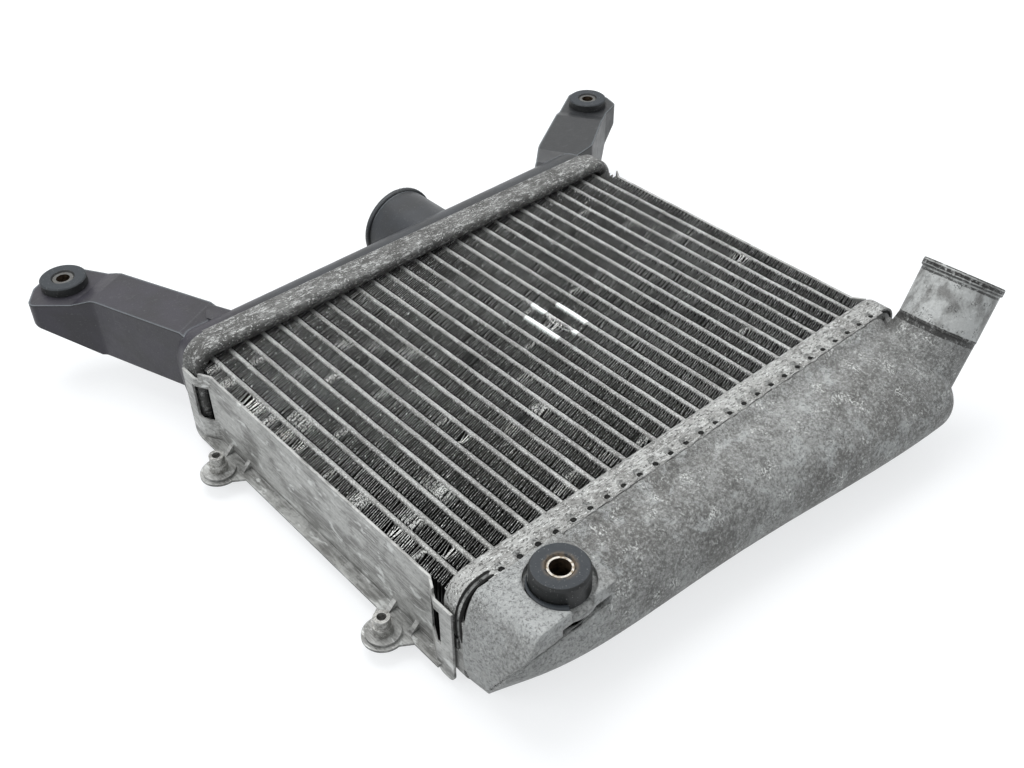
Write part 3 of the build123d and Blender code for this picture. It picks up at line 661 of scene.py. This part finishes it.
rng = np.random.default_rng(9)
x = np.linspace(*SHOULDER_X, SHOULDER_STEPS)
under = np.array([[casting_height(along_x, SHOULDER_Y - out) for out in FALL] for along_x in x])
end_fade = np.clip((SHOULDER_X[1] - x) / SHOULDER_FADE, 0, 1)[:, None]
top = SHOULDER_TOP + RISE + wander(rng, x, 0.12, 6.0)[:, None]
height = top * (1 - BLEND) + (under + 0.02) * BLEND
height = np.maximum(height * end_fade + (under - 0.6) * (1 - end_fade), under - 0.5)
height[:, -1] = under[:, -1] - 0.3
shoulder = lattice("tank_shoulder", [np.stack([np.repeat(x[:, None], len(FALL), axis=1),
                                               SHOULDER_Y - np.repeat(FALL[None], len(x), axis=0),
                                               height], axis=2)])
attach(shoulder, "root")
cast_finish.on(shoulder)

# the mould's parting line stands up as a rough ridge, from the sole round the end and under the boss
PARTING = ((-170, -145, -19), (-171, -152, -6), (-171, -158, 4), (-169, -165, 16), (-157, -162, 9),
           (-149, -163, 11), (-140, -164, 13), (-129, -165, 14), (-119, -165, 16), (-110, -166, 16))
RIDGE_STEPS, RIDGE_HEIGHT = 90, 0.75
steps = np.linspace(0, len(PARTING) - 1, RIDGE_STEPS)
line = np.stack([np.interp(steps, range(len(PARTING)), [spot[i] for spot in PARTING])
                 for i in range(3)], axis=1)
line = np.array([(tank.closest_point_on_mesh(at(*spot))[1] - middle) / MM for spot in line])
rng = np.random.default_rng(5)
turn = np.linspace(0, 2 * np.pi, 7)[:-1]
thick = np.clip(RIDGE_HEIGHT + rng.normal(0, 0.2, len(line)), 0.3, 1.2)
thick[0] = thick[-1] = 0.05
around = np.stack([np.zeros(6), np.cos(turn), np.sin(turn)], axis=1)
ridge = line[:, None, :] + around * thick[:, None, None]
parting_ridge = lattice("parting_ridge", [ridge], ring=True)
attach(parting_ridge, "root")
cast_finish.on(parting_ridge)

# ---------------------------------------------------------------- moulded tank
# Black glass-filled nylon, moulded in one piece with its two arms and the outlet, and faded to slate
# on top. Its top edges carry a painted highlight with a painted shadow just under them, and fine
# scratches run along the arms.
f = Finish("tank_plastic", Specular_IOR_Level=0.4)
place = f.place()
x = f.xyz(place)[0]
up_face, rim = f.facing_up(), f.edges(3.0)
SLATE, VIOLET = (0.030, 0.034, 0.040, 1), (0.034, 0.032, 0.042, 1)
shade = f.mix(x.between(-100.0, -130.0), SLATE, VIOLET)
clouded = f.noise(place, 24.0, 4.0).between(0.35, 0.65) * 0.5
shade = f.mix((x.between(120.0, 160.0) * 0.6).either(clouded), shade, grey(0.018))
shade = f.mix(specks(f, place, 1.2, 0.0) * 0.35, shade, grey(0.12, -0.02))
scratches = f.noise(f.stretched(place, (0.10, 0.25, 1.0)), 0.8, 3.0, 0.6)
shade = f.mix(scratches.between(0.62, 0.72) * 0.25, shade, grey(0.12, -0.05))
dust = f.noise(place, 7.0, 5.0, 0.7)
shade = f.mix(dust.between(0.58, 0.75) * 0.2, shade, grey(0.10, 0.02))
# a painted highlight along the edges of faces that look up
shade = f.mix(rim * up_face * 0.8, shade, grey(0.26, -0.10))
# the right arm's outer side is painted pale: a painted reflection of the bright room
painted_reflection = f.facing("x", 0.55, 0.85) * x.between(170.0, 190.0)
painted_reflection *= f.noise(f.stretched(place, (1.0, 1.0, 0.3)), 6.0, 4.0).between(0.30, 0.60)
shade = f.mix(painted_reflection * 0.8, shade, grey(0.24, -0.02))
# a painted shadow on the sides just under the edges
shade = f.mix(rim * (1 - up_face) * 0.9, shade, grey(0.006))
relief = f.noise(place, 0.9, 3.0) + f.noise(place, 12.0) * 2.0
f.set(Base_Color=shade, Roughness=dust * 0.35 + 0.24,
      Normal=f.bump(relief, 0.10, f.rounded(1.6)))
f.on(nodes["tank_plastic"])

# a small web carries the left arm's rear edge on into the tank's wall
WEB_FROM, WEB_TO, WEB_POINTS = np.array([-133.9, 161.5]), np.array([-125.5, 142.0]), 12
WEB_TOP, WEB_FOOT, WEB_INWARD = 28.7, -14.0, np.array([-0.9, -0.387])
# across the web: how far inward of its outer face, and how high
WEB_SECTION = ((12.0, WEB_TOP - 2.0), (6.0, WEB_TOP - 0.3), (1.6, WEB_TOP), (0.5, WEB_TOP - 0.5),
               (0.0, WEB_TOP - 1.6), (0.0, WEB_FOOT))
share = np.linspace(0, 1, WEB_POINTS)[:, None]
outer = WEB_FROM * (1 - share) + WEB_TO * share
web = np.stack([np.concatenate([outer + WEB_INWARD * inset, np.full((WEB_POINTS, 1), height)], axis=1)
                for inset, height in WEB_SECTION], axis=1)
arm_root_web = lattice("arm_root_web", [web], smooth=False)
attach(arm_root_web, "root")
f.on(arm_root_web)

# ---------------------------------------------------------------- bushings
# Moulded rubber, slate grey; painted light makes its faces that look up a paler slate. Rust from the
# sleeve has stained the front one's dish.
SEAT_TOP, SEAT_RADIUS = 36.7, 15.3
TOP_LIT_SLATE, RUST_STAIN = (0.026, 0.033, 0.041, 1), (0.16, 0.12, 0.08, 1)
sleeve_low, sleeve_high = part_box("sleeve_front")
front_hole = ((sleeve_low + sleeve_high) / 2 - middle) / MM
f = Finish("bushing_rubber", Specular_IOR_Level=0.35)
place = f.place()
shade = f.mix(f.noise(place, 5.0, 4.0).between(0.35, 0.65), grey(0.014, -0.04), grey(0.022, -0.06))
# faces that look up are painted paler: painted light from above
shade = f.mix(f.facing("z", 0.5, 0.95) * 0.75, shade, TOP_LIT_SLATE)
ring = f.distance(f.stretched(place, (1, 1, 0)), (front_hole.x, front_hole.y, 0.0))
rust = ring.between(9.6, 7.0) * f.noise(place, 2.5, 4.0).between(0.35, 0.55)
shade = f.mix(rust * 0.75, shade, RUST_STAIN)
shade = f.mix(specks(f, place, 0.7, -0.12), shade, grey(0.35))
# a painted highlight along the edges
shade = f.mix(f.edges(0.7) * 0.4, shade, grey(0.14, -0.06))
f.set(Base_Color=shade, Roughness=f.noise(place, 3.0) * 0.25 + 0.42,
      Normal=f.bump(f.noise(place, 1.1, 4.0), 0.12, f.rounded(0.8)))
f.on(*[nodes["bushing_" + side] for side in ("front", "left", "right")])

# the front bushing's flange bulges out of its seat, up to where the seat is broken open
FLANGE_FROM, FLANGE_TO, FLANGE_STEPS = 128, 243, 48
# out from the seat's edge, as a share of the bulge's width, and the height there above the seat
ACROSS = np.array([0.0, 0.0, 0.10, 0.35, 0.7, 0.95, 1.0, 1.0])
BULGE = np.array([-3.6, -0.1, 0.35, 0.55, 0.50, 0.25, -0.2, -3.6])
turn = np.radians(np.linspace(FLANGE_FROM, FLANGE_TO, FLANGE_STEPS))
wide = np.interp(turn, [turn[0], turn[12], turn[-1]], [0.4, 1.9, 4.0])
reach = SEAT_RADIUS + wide[:, None] * ACROSS
flange = np.stack([front_hole.x + np.cos(turn)[:, None] * reach,
                   front_hole.y + np.sin(turn)[:, None] * reach,
                   np.repeat(SEAT_TOP + BULGE[None], len(turn), axis=0)], axis=2)
flange[[0, -1], :, 2] = SEAT_TOP - 2.5
bushing_flange = lattice("bushing_flange", [flange], ring=True)
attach(bushing_flange, "root")
f.on(bushing_flange)

# ---------------------------------------------------------------- sleeves
# Turned steel tubes that the bolts clamp. Their rims are bright, and their bores brown with rust.
RUSTED, RUSTED_BORE = (0.20, 0.16, 0.11, 1), (0.10, 0.07, 0.045, 1)
f = Finish("sleeve_steel", Metallic=0.6)
place = f.place()
rust = f.noise(place, 2.5, 5.0, 0.65)
shade = f.mix(rust.between(0.42, 0.62), grey(0.46, 0.06), RUSTED)
# the two in the arms are dull and grey
shade = f.mix(f.xyz(place)[1].between(-100.0, -90.0) * 0.85, shade, grey(0.085, -0.03))
bore = f.mix(rust.between(0.35, 0.60), (0.030, 0.024, 0.018, 1), RUSTED_BORE)
shade = f.mix(f.facing("z", 0.7, 0.3), shade, bore)
f.set(Base_Color=shade, Roughness=rust * 0.4 + 0.25, Normal=f.bump(rust, 0.12, f.rounded(0.3)))
f.on(*[nodes["sleeve_" + side] for side in ("front", "left", "right")])

# ---------------------------------------------------------------- side plates
# Rolled aluminium strip along each side of the core, stepped out to pass the header plates and
# flanged at the bottom. Dull and brushed, with pale rubs and grey stains.
f = Finish("plate_aluminium", Metallic=0.25)
place = f.place()
z = f.xyz(place)[2]
drawn = f.noise(f.stretched(place, (1.0, 0.12, 1.0)), 1.2, 4.0, 0.6)
stain = f.noise(f.stretched(place, (1.0, 0.6, 1.0)), 16.0, 5.0, 0.6, 0.5)
rub = f.noise(f.stretched(place, (1.0, 0.35, 0.8)), 4.5, 3.0, 0.6, 0.4)
fine = f.noise(place, 2.2, 7.0, 0.75)
shade = f.mix(stain.between(0.42, 0.58), grey(0.21, 0.02), grey(0.43, 0.01))
shade = f.mix(drawn.between(0.44, 0.62) * 0.4, shade, grey(0.60, 0.01))
shade = f.mix(drawn.between(0.46, 0.32) * 0.35, shade, grey(0.12, 0.03))
shade = f.mix(fine.between(0.48, 0.36) * 0.45, shade, grey(0.09, 0.03))
shade = f.mix(rub.between(0.58, 0.66) * 0.7, shade, grey(0.72))
# painted shade, patchy, darkens the crease above the flange
crease_shade = abs(z + half_depth).between(3.0, 0.6) * (1 - f.facing_up())
crease_shade *= f.noise(place, 8.0, 4.0).between(0.30, 0.55)
shade = f.mix(crease_shade * 0.6, shade, grey(0.06, 0.04))
# pale along the edges: partly worn metal, partly a painted highlight
shade = f.mix(f.edges(0.6) * 0.35, shade, grey(0.70))
f.set(Base_Color=shade, Roughness=stain * 0.3 + 0.36,
      Normal=f.bump(drawn * 0.5 + f.noise(place, 9.0, 3.0) * 2.0, 0.22, f.rounded(0.6)))
f.on(nodes["side_plate_left"], nodes["side_plate_right"])

# ---------------------------------------------------------------- lug nuts
# Stepped threaded inserts of plated steel, riveted into the lugs; the plating has gone grey.
f = Finish("nut_steel", Metallic=0.5)
place = f.place()
wear = f.noise(place, 2.0, 5.0, 0.65)
shade = f.mix(wear.between(0.35, 0.65), grey(0.20, 0.04), grey(0.46, 0.02))
shade = f.mix(specks(f, place, 0.6, 0.30) * 0.7, shade, grey(0.07, 0.08))
# pale along the edges: partly worn plating, partly a painted highlight
shade = f.mix(f.edges(0.4) * 0.6, shade, grey(0.75))
f.set(Base_Color=shade, Roughness=wear * 0.3 + 0.28, Normal=f.bump(wear, 0.12, f.rounded(0.4)))
f.on(nodes["lug_nuts"])

# ---------------------------------------------------------------- floor and light
# A white sweep under an even, soft light from all round, a little stronger from above and behind.
FLOOR_REACH, FLOOR_GLOW = 4000.0, 0.71
ROOM_COLOUR, ROOM_LIGHT = (0.96, 0.98, 1.0, 1), 0.60
floor_z = (cad_box[0].z - middle.z) / MM
corners = np.array([[(-1, -1), (-1, 1)], [(1, -1), (1, 1)]]) * FLOOR_REACH
floor = lattice("floor", [np.concatenate([corners, np.full((2, 2, 1), floor_z)], axis=2)])

f = Finish("white_sweep", Roughness=0.9, Specular_IOR_Level=0.1)
place = f.place()
shade = f.mix(f.noise(place, 180.0, 2.0), (0.35, 0.36, 0.365, 1), (0.36, 0.365, 0.37, 1))
f.set(Base_Color=shade)
f.on(floor)


def seen(tree):
    """1 for what the camera sees, also by reflection or through glass; 0 for light on the object."""
    path = tree.nodes.new("ShaderNodeLightPath")
    total = None
    for name in ("Is Camera Ray", "Is Glossy Ray", "Is Transmission Ray"):
        if total is None:
            total = path.outputs[name]
            continue
        larger = tree.nodes.new("ShaderNodeMath")
        larger.operation = "MAXIMUM"
        tree.links.new(total, larger.inputs[0])
        tree.links.new(path.outputs[name], larger.inputs[1])
        total = larger.outputs[0]
    return total


strength = Value(f, seen(f.tree)) * FLOOR_GLOW
glow = f.node("Emission", None, {"Color": (0.98, 0.99, 1.0, 1), "Strength": strength})
both = f.node("AddShader", None, {0: Value(f, f.shader.outputs[0]), 1: glow})
f.tree.links.new(both.socket, f.output.inputs[0])

world = bpy.data.worlds.new("soft_room")
bpy.context.scene.world = world
world.use_nodes = True
tree = world.node_tree
tree.nodes.clear()
room = tree.nodes.new("ShaderNodeBackground")
backdrop = tree.nodes.new("ShaderNodeBackground")
room.inputs[0].default_value, room.inputs[1].default_value = ROOM_COLOUR, ROOM_LIGHT
backdrop.inputs[0].default_value, backdrop.inputs[1].default_value = (1, 1, 1, 1), 1.0
choice = tree.nodes.new("ShaderNodeMixShader")
out = tree.nodes.new("ShaderNodeOutputWorld")
tree.links.new(seen(tree), choice.inputs[0])
tree.links.new(room.outputs[0], choice.inputs[1])
tree.links.new(backdrop.outputs[0], choice.inputs[2])
tree.links.new(choice.outputs[0], out.inputs[0])


def softbox(name, place, size, watts):
    lamp = bpy.data.lights.new(name, "AREA")
    lamp.shape, lamp.energy = "RECTANGLE", watts
    lamp.size, lamp.size_y = size
    made = bpy.data.objects.new(name, lamp)
    bpy.context.scene.collection.objects.link(made)
    made.location = place
    made.rotation_euler = (middle - Vector(place)).to_track_quat("-Z", "Y").to_euler()


softbox("softbox_above", (0.35, 0.75, 1.7), (1.6, 1.2), 24)
softbox("softbox_left", (-1.3, 0.5, 0.9), (1.0, 0.8), 7)
